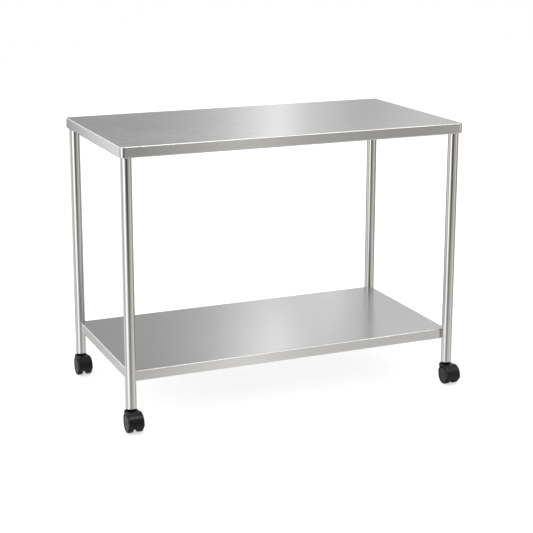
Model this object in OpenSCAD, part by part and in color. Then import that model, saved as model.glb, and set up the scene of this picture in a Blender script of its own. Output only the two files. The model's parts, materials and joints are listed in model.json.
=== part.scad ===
// Wheeled side table in folded stainless steel: a top panel and a lower shelf on four
// round tube legs, each leg on a small twin-wheel swivel caster.
// Millimetres, +Z up, floor at z = 0, +X along the length, -Y is the front.

/* [Table] */
// Length of the top along X
top_w = 850; // [700:10:1100]
// Depth of the top along Y
top_d = 450; // [380:10:600]
// Height of the top surface above the floor
table_h = 650; // [550:10:850]
// Height of the shelf surface above the floor
shelf_z = 135; // [110:5:200]

/* [Sheet metal] */
// Height of the folded rim of the top
rim_h = 25; // [20:1:35]
// Height of the folded lip of the shelf
lip_h = 25; // [20:1:32]
// Sheet thickness
sheet = 1.2; // [1:0.1:1.5]
// Width of the flange folded inward under rim and lip
flange = 14; // [11:1:16]
// Outer radius of the top's four upright corners
corner_r = 10; // [7:0.5:14]
// Outer radius of each fold
fold_r = 2.6; // [2.2:0.1:3]
// How far the shelf's end edges stand outside the leg centres
shelf_out_x = 2; // [0:0.5:4]
// How far the shelf's long edges stand inside the leg centres
shelf_in_y = 5; // [3:0.5:7]
// Size of the cut at each shelf corner
shelf_cut = 16.5; // [15.5:0.5:20]

/* [Legs] */
// Outer diameter of the leg tube
tube_d = 25.4; // [25:0.1:26]
// Wall of the leg tube
tube_t = 1.2; // [1:0.1:1.5]
// Distance of each leg's centre from the rim
leg_in = 17; // [16:0.5:20]

/* [Casters] */
// Height of the leg's lower end above the floor
tube_z = 52; // [52:0.5:58]
// Wheel diameter
wheel_d = 43; // [41:0.5:43.5]
// Distance of the axle in front of the swivel axis
trail = 16; // [15:0.5:18]
// Width of the hood along the axle
hood_w = 38; // [37.4:0.2:42]
// Outer radius of the hood about the axle
hood_r = 26; // [25.6:0.1:26.2]

/* [Hidden] */
$fn = 96;
fit = 0.05;
leg_x = top_w / 2 - leg_in;
leg_y = top_d / 2 - leg_in;
tube_r = tube_d / 2;
bore_r = tube_r - tube_t;
wheel_r = wheel_d / 2;
// The casters reach further forward than the rim does, so the table sits this far back
// and the middle of the whole footprint is at the origin
table_y = (leg_y + trail + hood_r - top_d / 2) / 2;
plate_t = 3;
plate_w = 60;
plate_gap = 1.5;
hat_l = top_w - 150;
hat_top = 30;
hat_h = 16;
hat_foot = 14;
shelf_x = leg_x + shelf_out_x;
shelf_y = leg_y - shelf_in_y;
web_x = 3.8;
web_low = 5.4;
wheel_in = 4.4;
wheel_out = 18.2;
cap_r = 18;
axle_r = 3;
pin_r = 3;
stem_r = 5.5;
neck_r = 16.5;
neck_top = tube_z - 5.6;
neck_low = 36;
rear_low = 24;
front_low = 15;
hood_in = wheel_r + 1;
// The shell's outside is set this far forward and up, so its back edge runs out thin
hood_shift = 1.4;
tread_round = 3;
hood_round = 4.5;
edge_round = 8;
corners = [[-1, -1], [1, -1], [-1, 1], [1, 1]];

sheet_colour = [0.72, 0.72, 0.71];
tube_colour = [0.66, 0.66, 0.65];
steel_colour = [0.55, 0.55, 0.55];
plastic_colour = [0.06, 0.06, 0.065];
tyre_colour = [0.03, 0.03, 0.03];
cap_colour = [0.16, 0.16, 0.17];

// Half of a plate's section, its outer edges rounded
module half_section(r, h, f) {
  square([r - f, h]);
  translate([0, f]) square([r, h - 2 * f]);
  translate([r - f, f]) circle(f);
  translate([r - f, h - f]) circle(f);
}

// The whole section
module full_section(r, h, f) {
  half_section(r, h, f);
  mirror([1, 0]) half_section(r, h, f);
}

// A convex slab: pts are the centres of its corner radii r, f rounds its upper and lower edges
module slab(pts, r, h, f) {
  n = len(pts);
  linear_extrude(h) polygon(pts);
  for (i = [0 : n - 1]) {
    p = pts[i];
    q = pts[(i + 1) % n];
    translate([p[0], p[1], 0]) rotate_extrude() intersection() {
      half_section(r, h, f);
      square([r + 1, h]);
    }
    translate([p[0], p[1], 0]) rotate([0, 0, atan2(q[1] - p[1], q[0] - p[0])])
      rotate([90, 0, 90]) linear_extrude(norm(q - p)) full_section(r, h, f);
  }
}

function box_pts(x, y) = [[-x, -y], [x, -y], [x, y], [-x, y]];

// A rectangle with each corner cut by c
function cut_pts(x, y, c) = [[-x + c, -y], [x - c, -y], [x, -y + c], [x, y - c],
  [x - c, y], [-x + c, y], [-x, y - c], [-x, -y + c]];

// The same cut rectangle moved in by a on every side
function cut_in(x, y, c, a) = cut_pts(x - a, y - a, c - a * (2 - sqrt(2)));

module at_table() {
  translate([0, table_y, 0]) children();
}

// Puts a part on leg i, whose swivel axis becomes its Z axis
module at_leg(i) {
  translate([corners[i][0] * leg_x, table_y + corners[i][1] * leg_y, 0]) children();
}

// Puts a part made about Z on the axle of leg i, its Z axis pointing out to side s
module at_axle(i, s) {
  at_leg(i) translate([0, -trail, wheel_r]) rotate([0, 90 * s, 0]) children();
}

// Top sheet with its rim and the flange under it; the flange is cut back around the legs
module top_panel() {
  x = top_w / 2 - corner_r;
  y = top_d / 2 - corner_r;
  reach_x = top_w / 2 - 3.8;
  reach_y = top_d / 2 - 3.8;
  notch = 52;
  color(sheet_colour) at_table() translate([0, 0, table_h - rim_h]) difference() {
    slab(box_pts(x, y), corner_r, rim_h, fold_r);
    translate([0, 0, sheet])
      slab(box_pts(x, y), corner_r - sheet, rim_h - 2 * sheet, fold_r - sheet);
    translate([0, 0, -1]) linear_extrude(sheet + 2) {
      square([top_w - 2 * flange, top_d - 2 * flange], center = true);
      for (c = corners) translate([c[0] * (reach_x - notch / 2), c[1] * (reach_y - notch / 2)])
        square(notch, center = true);
    }
  }
}

// Hat section that stiffens a sheet from below, its feet on the sheet at z = 0
module hat(length) {
  w = hat_top / 2;
  f = w + hat_foot;
  t = 1.2;
  translate([-length / 2, 0, 0]) rotate([90, 0, 90]) linear_extrude(length)
    polygon([[-f, 0], [-w, 0], [-w + 4, -hat_h + t], [w - 4, -hat_h + t], [w, 0], [f, 0],
      [f, -t], [w + 1, -t], [w - 3, -hat_h], [-w + 3, -hat_h], [-w - 1, -t], [-f, -t]]);
}

module top_stiffener() {
  color(steel_colour) at_table() translate([0, 0, table_h - sheet]) hat(hat_l);
}

module shelf_stiffener() {
  color(steel_colour) at_table() translate([0, 0, shelf_z - sheet]) hat(hat_l);
}

// A rectangular block, its long upper and lower edges rounded, each corner cut flat by c
module cut_block(x, y, c, h, f) {
  difference() {
    intersection() {
      translate([-x - 1, 0, 0]) rotate([90, 0, 90]) linear_extrude(2 * x + 2) full_section(y, h, f);
      translate([0, y + 1, 0]) rotate([90, 0, 0]) linear_extrude(2 * y + 2) full_section(x, h, f);
    }
    for (k = corners) translate([k[0] * x, k[1] * y, -1]) rotate([0, 0, 45])
      cube([c * sqrt(2), c * sqrt(2), 2 * h + 4], center = true);
  }
}

// Shelf sheet with its lip, a flange under it, and a cut at each corner for the leg
module shelf_panel() {
  in_cut = shelf_cut - sheet * (2 - sqrt(2));
  color(sheet_colour) at_table() translate([0, 0, shelf_z - lip_h]) difference() {
    cut_block(shelf_x, shelf_y, shelf_cut, lip_h, fold_r);
    translate([0, 0, sheet])
      cut_block(shelf_x - sheet, shelf_y - sheet, in_cut, lip_h - 2 * sheet, fold_r - sheet);
    translate([0, 0, -1]) linear_extrude(sheet + 2)
      polygon(cut_in(shelf_x, shelf_y, shelf_cut, flange));
  }
}

// Welds between the cut corners of the shelf and the legs
module shelf_welds() {
  face = (leg_x + leg_y - (shelf_x + shelf_y - shelf_cut)) / sqrt(2);
  high = lip_h - 2 * fold_r - 1;
  color(steel_colour) for (i = [0 : 3]) at_leg(i)
    rotate([0, 0, atan2(-corners[i][1], -corners[i][0])]) difference() {
      translate([tube_r - 1, -4, shelf_z - lip_h / 2 - high / 2])
        cube([face - tube_r + 1 - 0.02, 8, high]);
      translate([0, 0, shelf_z - lip_h]) cylinder(r = tube_r + fit, h = lip_h);
    }
}

// Plate under the top sheet that carries a leg
module plate(i) {
  cx = top_w / 2 - sheet - plate_gap - plate_w / 2;
  cy = top_d / 2 - sheet - plate_gap - plate_w / 2;
  k = plate_w / 2 - 9;
  color(steel_colour) at_table()
    translate([corners[i][0] * cx, corners[i][1] * cy, table_h - sheet - plate_t])
      linear_extrude(plate_t) {
        square([plate_w, 2 * k], center = true);
        square([2 * k, plate_w], center = true);
        for (c = corners) translate([c[0] * k, c[1] * k]) circle(9);
      }
}

module leg(i) {
  h = table_h - sheet - plate_t - tube_z;
  color(tube_colour) at_leg(i) translate([0, 0, tube_z]) difference() {
    cylinder(r = tube_r, h = h);
    translate([0, 0, -1]) cylinder(r = bore_r, h = h + 2);
  }
}

// Plug in the lower end of a leg, with the collar that shows under the tube
module plug(i) {
  color(plastic_colour) at_leg(i) difference() {
    union() {
      translate([0, 0, tube_z - 4.4]) cylinder(r1 = tube_r - 1.4, r2 = tube_r - 0.7, h = 4.4);
      translate([0, 0, tube_z - 0.5]) cylinder(r = bore_r - fit, h = 36.5);
    }
    translate([0, 0, tube_z - 6]) cylinder(r = stem_r + fit, h = 50);
  }
}

// Stem of a caster: the thick part sits in the plug, the pin below it carries the hood
module stem(i) {
  color(steel_colour) at_leg(i) {
    translate([0, 0, neck_top + 0.3]) cylinder(r = stem_r, h = 34);
    translate([0, 0, neck_top + 34.2]) cylinder(r1 = stem_r, r2 = stem_r - 1.5, h = 2);
    translate([0, 0, 27]) cylinder(r = pin_r, h = neck_top - 26);
  }
}

// Hood of a caster: a shell over both wheels, the web between them and the neck
module hood(i) {
  hx = hood_w / 2;
  color(plastic_colour) at_leg(i) difference() {
    union() {
      difference() {
        union() {
          // Shell over the wheels
          translate([-hx, -trail - hood_shift, wheel_r + hood_shift]) rotate([0, 90, 0])
            rotate_extrude() intersection() {
              half_section(hood_r - hood_shift, hood_w, hood_round);
              square([hood_r + 1, hood_w]);
            }
          // Neck about the swivel axis
          translate([0, 0, neck_low]) rotate_extrude() intersection() {
            half_section(neck_r, neck_top - neck_low, 3);
            square([neck_r + 1, neck_top - neck_low]);
          }
        }
        // Room for the wheels
        translate([-hx - 1, -trail, wheel_r]) rotate([0, 90, 0]) cylinder(r = hood_in, h = hood_w + 2);
        // Open behind and below the wheels
        translate([-hx - 1, -trail, -10]) cube([hood_w + 2, 60, rear_low + 10]);
        translate([-hx - 1, -trail - hood_r - 5, -10]) cube([hood_w + 2, hood_r + 6, front_low + 10]);
        // The front edge's rounded ends
        for (k = [-1, 1]) translate([k * hx, -trail - hood_r - 5, front_low]) rotate([-90, 0, 0])
          linear_extrude(hood_r + 5) difference() {
            square(2 * edge_round, center = true);
            translate([-k * edge_round, -edge_round]) circle(edge_round);
          }
        // Arch in the middle of the front edge
        translate([0, -trail - hood_r - 5, front_low - 1]) rotate([-90, 0, 0]) cylinder(r = 4.5, h = hood_r);
      }
      // Web between the wheels
      translate([-web_x, -trail, wheel_r]) rotate([0, 90, 0]) intersection() {
        cylinder(r = hood_in + 0.6, h = 2 * web_x);
        translate([-hood_r, -hood_r, 0]) cube([hood_r + web_low, 2 * hood_r, 2 * web_x]);
      }
    }
    translate([-hx, -trail, wheel_r]) rotate([0, 90, 0]) cylinder(r = axle_r + 0.02, h = hood_w);
    translate([0, 0, 26.8]) cylinder(r = pin_r + fit, h = 20);
  }
}

module axle(i) {
  color(steel_colour) at_leg(i) translate([-wheel_out + 2.2, -trail, wheel_r])
    rotate([0, 90, 0]) cylinder(r = axle_r, h = 2 * (wheel_out - 2.2));
}

// One wheel with its tread, hub and the seat of its cap
module wheel(i, s) {
  color(tyre_colour) at_axle(i, s) translate([0, 0, wheel_in]) rotate_extrude() difference() {
    intersection() {
      half_section(wheel_r, wheel_out - wheel_in, tread_round);
      translate([axle_r + fit, 0]) square([wheel_r, wheel_out - wheel_in]);
    }
    // Seat of the cap
    translate([0, wheel_out - wheel_in - 1.6]) square([cap_r + fit, 5]);
    // Hollow on the inner side
    translate([7.5, -1]) square([8, 7]);
  }
}

// Round cap in a wheel's outer face, with a raised edge and a raised middle
module cap(i, s) {
  color(cap_colour) at_axle(i, s) translate([0, 0, wheel_out - 1.55]) rotate_extrude() {
    square([cap_r, 1.0]);
    translate([cap_r - 2.6, 0.5]) square([2.6, 1.0]);
    translate([0, 0.5]) square([5.2, 0.9]);
  }
}

top_panel();
top_stiffener();
shelf_panel();
shelf_stiffener();
shelf_welds();
plate(0);  // plate_fl
plate(1);  // plate_fr
plate(2);  // plate_bl
plate(3);  // plate_br
leg(0);  // leg_fl
leg(1);  // leg_fr
leg(2);  // leg_bl
leg(3);  // leg_br
plug(0);  // plug_fl
plug(1);  // plug_fr
plug(2);  // plug_bl
plug(3);  // plug_br
stem(0);  // stem_fl
stem(1);  // stem_fr
stem(2);  // stem_bl
stem(3);  // stem_br
hood(0);  // hood_fl
hood(1);  // hood_fr
hood(2);  // hood_bl
hood(3);  // hood_br
axle(0);  // axle_fl
axle(1);  // axle_fr
axle(2);  // axle_bl
axle(3);  // axle_br
wheel(0, -1);  // wheel_fl_l
wheel(0, 1);  // wheel_fl_r
wheel(1, -1);  // wheel_fr_l
wheel(1, 1);  // wheel_fr_r
wheel(2, -1);  // wheel_bl_l
wheel(2, 1);  // wheel_bl_r
wheel(3, -1);  // wheel_br_l
wheel(3, 1);  // wheel_br_r
cap(0, -1);  // cap_fl_l
cap(0, 1);  // cap_fl_r
cap(1, -1);  // cap_fr_l
cap(1, 1);  // cap_fr_r
cap(2, -1);  // cap_bl_l
cap(2, 1);  // cap_bl_r
cap(3, -1);  // cap_br_l
cap(3, 1);  // cap_br_r
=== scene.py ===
import bpy
import json
import math
from mathutils import Matrix, Vector

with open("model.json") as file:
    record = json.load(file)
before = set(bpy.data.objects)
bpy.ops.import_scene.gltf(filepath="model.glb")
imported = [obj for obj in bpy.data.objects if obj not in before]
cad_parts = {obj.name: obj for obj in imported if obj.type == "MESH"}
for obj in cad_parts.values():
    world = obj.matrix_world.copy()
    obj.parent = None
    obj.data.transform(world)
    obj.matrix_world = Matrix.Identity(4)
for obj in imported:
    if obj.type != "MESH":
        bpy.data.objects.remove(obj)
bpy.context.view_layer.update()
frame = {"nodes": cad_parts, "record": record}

nodes = frame["nodes"]
print("table loaded:", len(nodes), "pieces")

# Camera
cameraSetup = {
    "place": (-1.25656, -2.94000, 1.16287),   # metres
    "turn": -23.250,                          # degrees from straight back
    "tilt": 13.034,                           # degrees down
    "roll": 0.101,
    "lens": 91.022,
    "shift": -0.10,
}


def makeCamera(s):
    a, p, r = (math.radians(s[k]) for k in ("turn", "tilt", "roll"))
    ahead = Vector((-math.sin(a) * math.cos(p), math.cos(a) * math.cos(p), -math.sin(p)))
    right = Vector((math.cos(a), math.sin(a), 0))
    up = right.cross(ahead)
    right, up = right * math.cos(r) + up * math.sin(r), up * math.cos(r) - right * math.sin(r)
    data = bpy.data.cameras.new("camera")
    data.lens = s["lens"]
    data.shift_y = s["shift"]
    camera = bpy.data.objects.new("camera", data)
    bpy.context.scene.collection.objects.link(camera)
    turn = Matrix((right, up, -ahead)).transposed().to_4x4()
    camera.matrix_world = Matrix.Translation(s["place"]) @ turn
    bpy.context.scene.camera = camera
    bpy.context.scene.view_settings.view_transform = "Standard"


makeCamera(cameraSetup)
print("camera set")


# Node helpers
def addNode(tree, kind, **values):
    node = tree.nodes.new(kind)
    for name, value in values.items():
        if name.startswith("in_"):
            node.inputs[name[3:].replace("_", " ")].default_value = value
        else:
            setattr(node, name, value)
    return node


def join(tree, start, end):
    tree.links.new(start, end)


# A value is another node's output or a fixed one
def feed(tree, value, socket):
    if isinstance(value, bpy.types.NodeSocket):
        join(tree, value, socket)
    else:
        socket.default_value = value


def maths(tree, operation, a, b=None):
    node = addNode(tree, "ShaderNodeMath", operation=operation)
    feed(tree, a, node.inputs[0])
    if b is not None:
        feed(tree, b, node.inputs[1])
    return node.outputs[0]


def times(tree, a, b):
    return maths(tree, "MULTIPLY", a, b)


def plus(tree, a, b):
    return maths(tree, "ADD", a, b)


def spread(tree, value, low, high, fromLow=0.0, fromHigh=1.0):
    node = addNode(tree, "ShaderNodeMapRange")
    join(tree, value, node.inputs["Value"])
    for name, v in (("From Min", fromLow), ("From Max", fromHigh), ("To Min", low), ("To Max", high)):
        node.inputs[name].default_value = v
    return node.outputs["Result"]


def blend(tree, factor, first, second):
    node = addNode(tree, "ShaderNodeMix", data_type="RGBA")
    join(tree, factor, node.inputs["Factor"])
    feed(tree, first, node.inputs[6])
    feed(tree, second, node.inputs[7])
    return node.outputs[2]


def grey(level):
    return (level, level, level, 1)


def stretched(tree, vector, scale):
    node = addNode(tree, "ShaderNodeVectorMath", operation="MULTIPLY")
    join(tree, vector, node.inputs[0])
    node.inputs[1].default_value = scale
    return node.outputs[0]


def noise(tree, vector, scale, detail, rough):
    node = addNode(tree, "ShaderNodeTexNoise", in_Scale=scale, in_Detail=detail, in_Roughness=rough)
    join(tree, vector, node.inputs["Vector"])
    return node.outputs["Fac"]


def addBump(tree, shader, height, s):
    bump = addNode(tree, "ShaderNodeBump", in_Strength=s["bump"], in_Distance=s["relief"])
    join(tree, height, bump.inputs["Height"])
    join(tree, bump.outputs[0], shader.inputs["Normal"])


def emptyTree(owner):
    owner.use_nodes = True
    owner.node_tree.nodes.clear()
    return owner.node_tree


def newMaterial(name):
    material = bpy.data.materials.new(name)
    tree = emptyTree(material)
    out = addNode(tree, "ShaderNodeOutputMaterial")
    shader = addNode(tree, "ShaderNodeBsdfPrincipled")
    join(tree, shader.outputs[0], out.inputs["Surface"])
    return material, tree, shader


def newGlow(name, strength):
    material = bpy.data.materials.new(name)
    tree = emptyTree(material)
    out = addNode(tree, "ShaderNodeOutputMaterial")
    glow = addNode(tree, "ShaderNodeEmission", in_Strength=strength)
    join(tree, glow.outputs[0], out.inputs["Surface"])
    return material, tree, glow


def newGroup(name, inputs, outputs):
    tree = bpy.data.node_groups.new(name, "ShaderNodeTree")
    for label, kind, value in inputs:
        socket = tree.interface.new_socket(label, in_out="INPUT", socket_type=kind)
        if value is not None:
            socket.default_value = value
    for label, kind in outputs:
        tree.interface.new_socket(label, in_out="OUTPUT", socket_type=kind)
    return tree, addNode(tree, "NodeGroupInput"), addNode(tree, "NodeGroupOutput")


# Brushed lines, handling marks and hairline scratches, shared by the steel finishes
brushMarks = {
    # each noise gives its scale, detail and roughness
    "fine": (1.0, 3.0, 0.65), "fineShare": 0.6,
    "broad": (1.0, 2.0, 0.5), "broadShare": 0.4, "broadStretch": (0.45, 0.22, 0.22),
    "lineEdges": (0.3, 0.7),
    "cloud": (5.0, 4.0, 0.55), "smudgeEdges": (0.30, 0.70),
    "hairScale": 2.2, "hairDetail": 1.0, "hairBend": 0.6, "hairMiddle": 0.5, "hairWidth": 0.0012,
    "gap": (14.0, 2.0, 0.5), "gapEdges": (0.52, 0.6),
}


def makeBrushing(s):
    tree, given, out = newGroup(
        "brushing",
        [("Vector", "NodeSocketVector", None), ("Place", "NodeSocketVector", None)],
        [("Line", "NodeSocketFloat"), ("Smudge", "NodeSocketFloat"), ("Scratch", "NodeSocketFloat")])
    vector, place = given.outputs["Vector"], given.outputs["Place"]
    fine = noise(tree, vector, *s["fine"])
    broad = noise(tree, stretched(tree, vector, s["broadStretch"]), *s["broad"])
    lines = plus(tree, times(tree, fine, s["fineShare"]), times(tree, broad, s["broadShare"]))
    join(tree, spread(tree, lines, 0, 1, *s["lineEdges"]), out.inputs["Line"])
    cloud = noise(tree, place, *s["cloud"])
    join(tree, spread(tree, cloud, 0, 1, *s["smudgeEdges"]), out.inputs["Smudge"])
    # A hairline runs where a bent noise passes its middle value
    bent = addNode(tree, "ShaderNodeTexNoise", in_Scale=s["hairScale"], in_Detail=s["hairDetail"],
                   in_Distortion=s["hairBend"])
    join(tree, place, bent.inputs["Vector"])
    near = maths(tree, "ABSOLUTE", maths(tree, "SUBTRACT", bent.outputs["Fac"], s["hairMiddle"]))
    hair = spread(tree, near, 1, 0, 0.0, s["hairWidth"])
    gaps = spread(tree, noise(tree, place, *s["gap"]), 0, 1, *s["gapEdges"])
    join(tree, times(tree, hair, gaps), out.inputs["Scratch"])
    return tree


brushing = makeBrushing(brushMarks)

# Brushed sheet: the lines run along the length, and along each end's own rim
sheetFinish = {
    "endEdges": (0.68, 0.72),                  # sideways part of the normal at which an end's rim starts
    "lineShare": 0.6, "smudgeShare": 0.4,
    # fold colour and its edges: a painted highlight laid on the outside of each fold
    "fold": (0.80, 0.80, 0.79, 1), "foldFrom": (0.10, 0.35), "foldTo": (0.90, 0.985), "foldLeast": 0.75,
    "smudgeRough": 0.02, "scratchRough": 0.03, "scratchDepth": 0.15,
    "anisotropy": 0.85, "bump": 0.35, "relief": 0.00001,
}
topFinish = {
    **sheetFinish,
    "light": (0.602, 0.602, 0.599, 1), "dark": (0.567, 0.567, 0.563, 1),
    "roughness": (0.24, 0.28), "grain": (3.0, 850.0),
}
# The shelf is the top's sheet steel with lighter tones: painted light that makes up for the shade the top
# casts on it
litShelfFinish = {
    **sheetFinish,
    "light": (0.752, 0.748, 0.751, 1), "dark": (0.706, 0.702, 0.704, 1),
    "roughness": (0.20, 0.25), "grain": (3.0, 800.0),
}


def makeSheetSteel(name, s):
    material, tree, shader = newMaterial(name)
    place = addNode(tree, "ShaderNodeTexCoord").outputs["Object"]
    facing = addNode(tree, "ShaderNodeSeparateXYZ")
    join(tree, addNode(tree, "ShaderNodeNewGeometry").outputs["Normal"], facing.inputs[0])
    onEnd = spread(tree, maths(tree, "ABSOLUTE", facing.outputs["X"]), 0, 1, *s["endEdges"])
    upward = maths(tree, "ABSOLUTE", facing.outputs["Z"])
    along, across = s["grain"]
    vector = addNode(tree, "ShaderNodeMix", data_type="VECTOR")
    join(tree, onEnd, vector.inputs["Factor"])
    join(tree, stretched(tree, place, (along, across, across)), vector.inputs[4])
    join(tree, stretched(tree, place, (across, along, across)), vector.inputs[5])
    marks = addNode(tree, "ShaderNodeGroup", node_tree=brushing)
    join(tree, vector.outputs[1], marks.inputs["Vector"])
    join(tree, place, marks.inputs["Place"])
    line, smudge, scratch = (marks.outputs[k] for k in ("Line", "Smudge", "Scratch"))
    mixed = plus(tree, times(tree, line, s["lineShare"]), times(tree, smudge, s["smudgeShare"]))
    tone = blend(tree, mixed, s["dark"], s["light"])
    # Painted highlight: the outside of each fold gets a lighter base colour, a little stronger where the
    # smudge noise is high
    bent = times(tree, spread(tree, facing.outputs["Z"], 0, 1, *s["foldFrom"]),
                 spread(tree, facing.outputs["Z"], 1, 0, *s["foldTo"]))
    foldHighlight = times(tree, bent, spread(tree, smudge, s["foldLeast"], 1.0))
    join(tree, blend(tree, foldHighlight, tone, s["fold"]), shader.inputs["Base Color"])
    rough = plus(tree, spread(tree, line, *s["roughness"]), times(tree, smudge, s["smudgeRough"]))
    join(tree, plus(tree, rough, times(tree, scratch, s["scratchRough"])), shader.inputs["Roughness"])
    shader.inputs["Metallic"].default_value = 1
    shader.inputs["Anisotropic"].default_value = s["anisotropy"]
    # Level faces stretch their highlights across the lines, upright ones up and down
    tangent = addNode(tree, "ShaderNodeCombineXYZ")
    join(tree, upward, tangent.inputs["Y"])
    join(tree, maths(tree, "SUBTRACT", 1.0, upward), tangent.inputs["Z"])
    join(tree, tangent.outputs[0], shader.inputs["Tangent"])
    addBump(tree, shader, maths(tree, "SUBTRACT", line, times(tree, scratch, s["scratchDepth"])), s)
    return material


# Satin tube: fine lines down the tube, bright sharp bands round it
tubeFinish = {
    "light": (0.655, 0.645, 0.632, 1), "dark": (0.570, 0.560, 0.548, 1),
    "lineShare": 0.7, "smudgeShare": 0.3,
    "roughness": (0.12, 0.18), "smudgeRough": 0.02,
    "anisotropy": 0.55, "grain": (420.0, 3.0), "bump": 0.3, "relief": 0.00002,
}


def makeTubeSteel(name, s):
    material, tree, shader = newMaterial(name)
    place = addNode(tree, "ShaderNodeTexCoord").outputs["Object"]
    across, along = s["grain"]
    marks = addNode(tree, "ShaderNodeGroup", node_tree=brushing)
    join(tree, stretched(tree, place, (across, across, along)), marks.inputs["Vector"])
    join(tree, place, marks.inputs["Place"])
    line, smudge = marks.outputs["Line"], marks.outputs["Smudge"]
    mixed = plus(tree, times(tree, line, s["lineShare"]), times(tree, smudge, s["smudgeShare"]))
    join(tree, blend(tree, mixed, s["dark"], s["light"]), shader.inputs["Base Color"])
    rough = plus(tree, spread(tree, line, *s["roughness"]), times(tree, smudge, s["smudgeRough"]))
    join(tree, rough, shader.inputs["Roughness"])
    shader.inputs["Metallic"].default_value = 1
    shader.inputs["Anisotropic"].default_value = s["anisotropy"]
    tangent = addNode(tree, "ShaderNodeCombineXYZ", in_Z=1.0)
    join(tree, tangent.outputs[0], shader.inputs["Tangent"])
    addBump(tree, shader, line, s)
    return material


# Mill finish of the parts under the sheets
millFinish = {
    "light": (0.56, 0.56, 0.555, 1), "dark": (0.47, 0.468, 0.46, 1), "roughness": (0.34, 0.46),
    "mottle": (60.0, 4.0, 0.6), "mottleShare": 0.6,
    "fine": (1.0, 2.0, 0.5), "fineShare": 0.4, "fineStretch": (90.0, 700.0, 700.0),
    "edges": (0.35, 0.65), "bump": 0.3, "relief": 0.00004,
}


def makeMillSteel(name, s):
    material, tree, shader = newMaterial(name)
    place = addNode(tree, "ShaderNodeTexCoord").outputs["Object"]
    mottle = noise(tree, place, *s["mottle"])
    fine = noise(tree, stretched(tree, place, s["fineStretch"]), *s["fine"])
    both = plus(tree, times(tree, mottle, s["mottleShare"]), times(tree, fine, s["fineShare"]))
    tone = blend(tree, spread(tree, both, 0, 1, *s["edges"]), s["dark"], s["light"])
    join(tree, tone, shader.inputs["Base Color"])
    join(tree, spread(tree, both, *s["roughness"], *s["edges"]), shader.inputs["Roughness"])
    shader.inputs["Metallic"].default_value = 1
    addBump(tree, shader, both, s)
    return material


# Fine moulded skin with a little dust, shared by the casters' plastics
mouldMarks = {
    "grain": 900.0, "skinDetail": 3.0, "skinRough": 0.6,
    "patch": (45.0, 4.0, 0.6), "patchEdges": (0.42, 0.72),
    "specks": (420.0, 2.0, 0.5), "speckEdges": (0.4, 0.7), "speckLeast": 0.3,
}


def makeMoulding(s):
    tree, given, out = newGroup(
        "moulding",
        [("Place", "NodeSocketVector", None), ("Grain", "NodeSocketFloat", s["grain"])],
        [("Skin", "NodeSocketFloat"), ("Dust", "NodeSocketFloat")])
    place = given.outputs["Place"]
    skin = addNode(tree, "ShaderNodeTexNoise", in_Detail=s["skinDetail"], in_Roughness=s["skinRough"])
    join(tree, place, skin.inputs["Vector"])
    join(tree, given.outputs["Grain"], skin.inputs["Scale"])
    join(tree, skin.outputs["Fac"], out.inputs["Skin"])
    patch = spread(tree, noise(tree, place, *s["patch"]), 0, 1, *s["patchEdges"])
    specks = spread(tree, noise(tree, place, *s["specks"]), s["speckLeast"], 1, *s["speckEdges"])
    join(tree, times(tree, patch, specks), out.inputs["Dust"])
    return tree


moulding = makeMoulding(mouldMarks)

mouldedFinish = {"skinEdges": (0.3, 0.7), "dustRough": 0.15, "bump": 0.4}
hoodFinish = {
    **mouldedFinish,
    "colour": (0.0035, 0.0037, 0.0042, 1), "dust": (0.030, 0.030, 0.030, 1), "share": 0.2,
    "roughness": (0.22, 0.31), "shine": 0.34, "grain": 900.0, "relief": 0.00005,
}
treadFinish = {
    **mouldedFinish,
    "colour": (0.0030, 0.0030, 0.0033, 1), "dust": (0.030, 0.029, 0.028, 1), "share": 0.2,
    "roughness": (0.44, 0.58), "shine": 0.15, "grain": 700.0, "relief": 0.00008,
}
discFinish = {
    **mouldedFinish,
    "colour": (0.0090, 0.0093, 0.0100, 1), "dust": (0.045, 0.044, 0.042, 1), "share": 0.3,
    "roughness": (0.28, 0.40), "shine": 0.33, "grain": 1100.0, "relief": 0.00004,
}


def makePlastic(name, s):
    material, tree, shader = newMaterial(name)
    place = addNode(tree, "ShaderNodeTexCoord").outputs["Object"]
    marks = addNode(tree, "ShaderNodeGroup", node_tree=moulding)
    marks.inputs["Grain"].default_value = s["grain"]
    join(tree, place, marks.inputs["Place"])
    skin, dust = marks.outputs["Skin"], marks.outputs["Dust"]
    tone = blend(tree, times(tree, dust, s["share"]), s["colour"], s["dust"])
    join(tree, tone, shader.inputs["Base Color"])
    rough = spread(tree, skin, *s["roughness"], *s["skinEdges"])
    join(tree, plus(tree, rough, times(tree, dust, s["dustRough"])), shader.inputs["Roughness"])
    shader.inputs["Specular IOR Level"].default_value = s["shine"]
    addBump(tree, shader, skin, s)
    return material


finishes = {
    "sheet_steel": makeSheetSteel("topSteel", topFinish),
    "tube_steel": makeTubeSteel("tubeSteel", tubeFinish),
    "hidden_steel": makeMillSteel("millSteel", millFinish),
    "black_plastic": makePlastic("hoodPlastic", hoodFinish),
    "wheel_tread": makePlastic("treadPlastic", treadFinish),
    "wheel_disc": makePlastic("discPlastic", discFinish),
}
# The shelf takes the lighter copy of the sheet steel, painted light in place of its own colour
litCopies = {"shelf_panel": makeSheetSteel("litShelfSteel", litShelfFinish)}
slots = {part["node"]: part["material_slot"] for part in frame["record"]["subparts"]}
for name, piece in nodes.items():
    for slot in piece.material_slots:
        slot.material = litCopies.get(name, finishes[slots[name]])
print("finishes given to", len(slots), "pieces")

# Studio, in metres: a paper floor, and a drum with a ceiling that only glossy rays see
studio = {
    "floor": 14.0, "floorColour": 0.86, "floorRough": 0.9, "floorShine": 0.2, "floorGlow": 0.57,
    "radius": 2.3, "low": -3.0, "high": 2.8, "sides": 96,
    "gain": 2.5,                               # level that a white in the surround's ramp stands for
    "paperLevel": 1.1, "paperShare": 0.42, "paperEdges": (0.1, -0.8),   # white paper seen low down
    "ceiling": 1.0, "sky": 0.75, "backdrop": 1.0,
}
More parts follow.
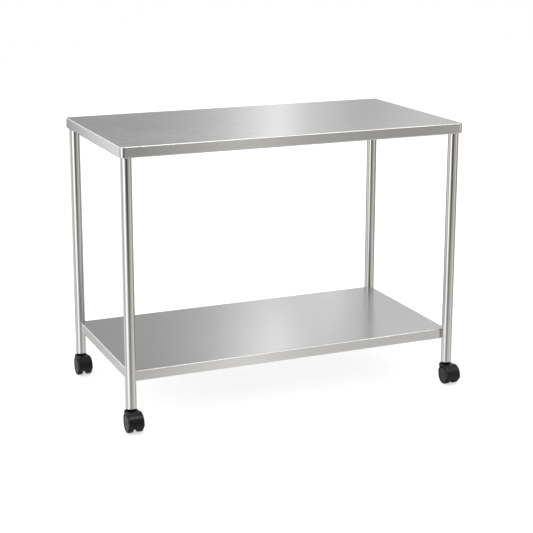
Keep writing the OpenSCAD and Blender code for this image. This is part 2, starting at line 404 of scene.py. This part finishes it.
# Level of the surround by direction in degrees, counted from +X towards +Y
surround = [
    (-180, 0.65), (-170, 1.00), (-162, 1.90), (-148, 1.95), (-138, 1.10), (-130, 0.52), (-120, 0.18),
    (-108, 0.07), (-96, 0.12), (-86, 0.24), (-77, 0.58), (-72, 0.95), (-67, 0.53), (-60, 0.44),
    (-52, 0.42), (-46, 1.05), (-38, 1.10), (-28, 0.74), (-16, 0.42), (0, 0.22), (30, 0.34),
    (49, 0.95), (56, 0.50), (62, 0.96), (64.5, 1.78), (67, 1.12), (71, 0.60), (77, 0.38),
    (114, 0.12), (116, 1.25), (118, 1.35), (166, 0.67),
]
# The room in front is a little warm
warmSide = {"from": -135, "to": 10, "tint": (1.0, 0.974, 0.922)}
# Lower down the pattern behind the right half leans by so many degrees a metre, and fades
lean = {
    "x": (-0.3, 0.2), "y": (0.0, 0.5), "below": 1.02, "depth": 0.12,
    "turn": 40.0, "fade": 0.60, "fadeTo": 0.56,
}
# Low down the back is dim, where the shelf's left lip reflects it
backDim = {"x": (-1.5, -1.25), "y": (1.2, 1.6), "z": (0.1, -0.3), "share": 0.72, "level": 0.25}
# Soft panels: one above the front for the hoods and front folds, one behind for the left end's fold
panels = {
    "frontPanel": {"place": (0.60, -1.15, 2.20), "size": (2.0, 0.7), "tip": 0.0, "level": 3.8},
    "backPanel": {"place": (-0.80, 2.00, 1.60), "size": (0.8, 0.9), "tip": 90.0, "level": 1.8},
}


def makeFloor(s):
    bpy.ops.mesh.primitive_plane_add(size=s["floor"])
    floor = bpy.context.object
    floor.name = "floor"
    material, tree, shader = newMaterial("paper")
    shader.inputs["Base Color"].default_value = grey(s["floorColour"])
    shader.inputs["Roughness"].default_value = s["floorRough"]
    shader.inputs["Specular IOR Level"].default_value = s["floorShine"]
    shader.inputs["Emission Color"].default_value = grey(1)
    seen = addNode(tree, "ShaderNodeLightPath").outputs["Is Camera Ray"]
    join(tree, times(tree, seen, s["floorGlow"]), shader.inputs["Emission Strength"])
    floor.data.materials.append(material)
    floor.visible_glossy = False


def glossOnly(piece):
    piece.visible_camera = False
    piece.visible_diffuse = False
    piece.visible_shadow = False
    piece.visible_transmission = False


def makeSurround(s, levels):
    bpy.ops.mesh.primitive_cylinder_add(vertices=s["sides"], radius=s["radius"], depth=s["high"] - s["low"],
                                        end_fill_type="NOTHING", location=(0, 0, (s["high"] + s["low"]) / 2))
    ring = bpy.context.object
    bpy.ops.object.transform_apply(location=True, rotation=True, scale=True)
    ring.name = "surround"
    material, tree, glow = newGlow("surroundGlow", s["gain"])
    place = addNode(tree, "ShaderNodeTexCoord").outputs["Object"]
    where = addNode(tree, "ShaderNodeSeparateXYZ")
    join(tree, place, where.inputs[0])
    x, y, z = (where.outputs[k] for k in "XYZ")
    bearing = addNode(tree, "ShaderNodeTexGradient", gradient_type="RADIAL")
    join(tree, place, bearing.inputs["Vector"])

    rightBack = times(tree, spread(tree, x, 0, 1, *lean["x"]), spread(tree, y, 0, 1, *lean["y"]))
    drop = times(tree, rightBack, spread(tree, z, 0, 1, lean["below"], lean["below"] - lean["depth"]))
    turned = times(tree, drop, lean["turn"] * lean["depth"] / 360)
    ramp = addNode(tree, "ShaderNodeValToRGB")
    join(tree, plus(tree, bearing.outputs["Fac"], turned), ramp.inputs["Fac"])
    points = ramp.color_ramp.elements
    while len(points) < len(levels):
        points.new(0.5)
    for point, (angle, level) in zip(points, levels):
        point.position = angle / 360 + 0.5
        v = level / s["gain"]
        r, g, b = warmSide["tint"] if warmSide["from"] < angle < warmSide["to"] else (1, 1, 1)
        point.color = (v * r, v * g, v * b, 1)

    lowRight = times(tree, drop, lean["fade"])
    faded = blend(tree, lowRight, ramp.outputs["Color"], grey(lean["fadeTo"] / s["gain"]))
    back = times(tree, spread(tree, x, 0, 1, *backDim["x"]), spread(tree, y, 0, 1, *backDim["y"]))
    lowBack = times(tree, back, spread(tree, z, 0, backDim["share"], *backDim["z"]))
    dimmed = blend(tree, lowBack, faded, grey(backDim["level"] / s["gain"]))
    paper = spread(tree, z, 0, s["paperShare"], *s["paperEdges"])
    join(tree, blend(tree, paper, dimmed, grey(s["paperLevel"] / s["gain"])), glow.inputs["Color"])
    ring.data.materials.append(material)
    glossOnly(ring)


def makePanel(name, s):
    bpy.ops.mesh.primitive_plane_add(size=1)
    piece = bpy.context.object
    piece.scale = (*s["size"], 1)
    piece.rotation_euler = (math.radians(s["tip"]), 0, 0)
    piece.location = s["place"]
    bpy.ops.object.transform_apply(location=True, rotation=True, scale=True)
    piece.name = name
    piece.data.materials.append(newGlow(name + "Glow", s["level"])[0])
    glossOnly(piece)


def makeCeiling(s):
    bpy.ops.mesh.primitive_circle_add(vertices=s["sides"], radius=s["radius"], fill_type="NGON",
                                      location=(0, 0, s["high"]))
    bpy.ops.object.transform_apply(location=True, rotation=True, scale=True)
    ceiling = bpy.context.object
    ceiling.name = "ceiling"
    ceiling.data.materials.append(newGlow("ceilingGlow", s["ceiling"])[0])
    glossOnly(ceiling)


# The object is lit by the sky; the camera and glossy rays see the white backdrop instead
def makeWorld(s):
    world = bpy.data.worlds.new("studioSky")
    bpy.context.scene.world = world
    tree = emptyTree(world)
    path = addNode(tree, "ShaderNodeLightPath")
    seen = maths(tree, "MAXIMUM", path.outputs["Is Camera Ray"],
                 maths(tree, "MAXIMUM", path.outputs["Is Glossy Ray"], path.outputs["Is Transmission Ray"]))
    mix = addNode(tree, "ShaderNodeMixShader")
    join(tree, seen, mix.inputs[0])
    for i, strength in ((1, s["sky"]), (2, s["backdrop"])):
        half = addNode(tree, "ShaderNodeBackground", in_Color=grey(1), in_Strength=strength)
        join(tree, half.outputs[0], mix.inputs[i])
    out = addNode(tree, "ShaderNodeOutputWorld")
    join(tree, mix.outputs[0], out.inputs["Surface"])


lamps = {
    "overhead": {"place": (-0.3, -0.2, 2.9), "aim": (0, 0, 0.3), "size": 1.6, "power": 14.0},
    "left": {"place": (-2.6, -0.6, 1.5), "aim": (0, 0, 0.3), "size": 1.2, "power": 9.0},
}


def makeLamp(name, s):
    data = bpy.data.lights.new(name, "AREA")
    data.shape = "SQUARE"
    data.size = s["size"]
    data.energy = s["power"]
    lamp = bpy.data.objects.new(name, data)
    bpy.context.scene.collection.objects.link(lamp)
    lamp.location = s["place"]
    lamp.rotation_euler = (Vector(s["aim"]) - Vector(s["place"])).to_track_quat("-Z", "Y").to_euler()


makeFloor(studio)
makeSurround(studio, surround)
makeCeiling(studio)
for name, setup in panels.items():
    makePanel(name, setup)
makeWorld(studio)
for name, setup in lamps.items():
    makeLamp(name, setup)
print("studio built")
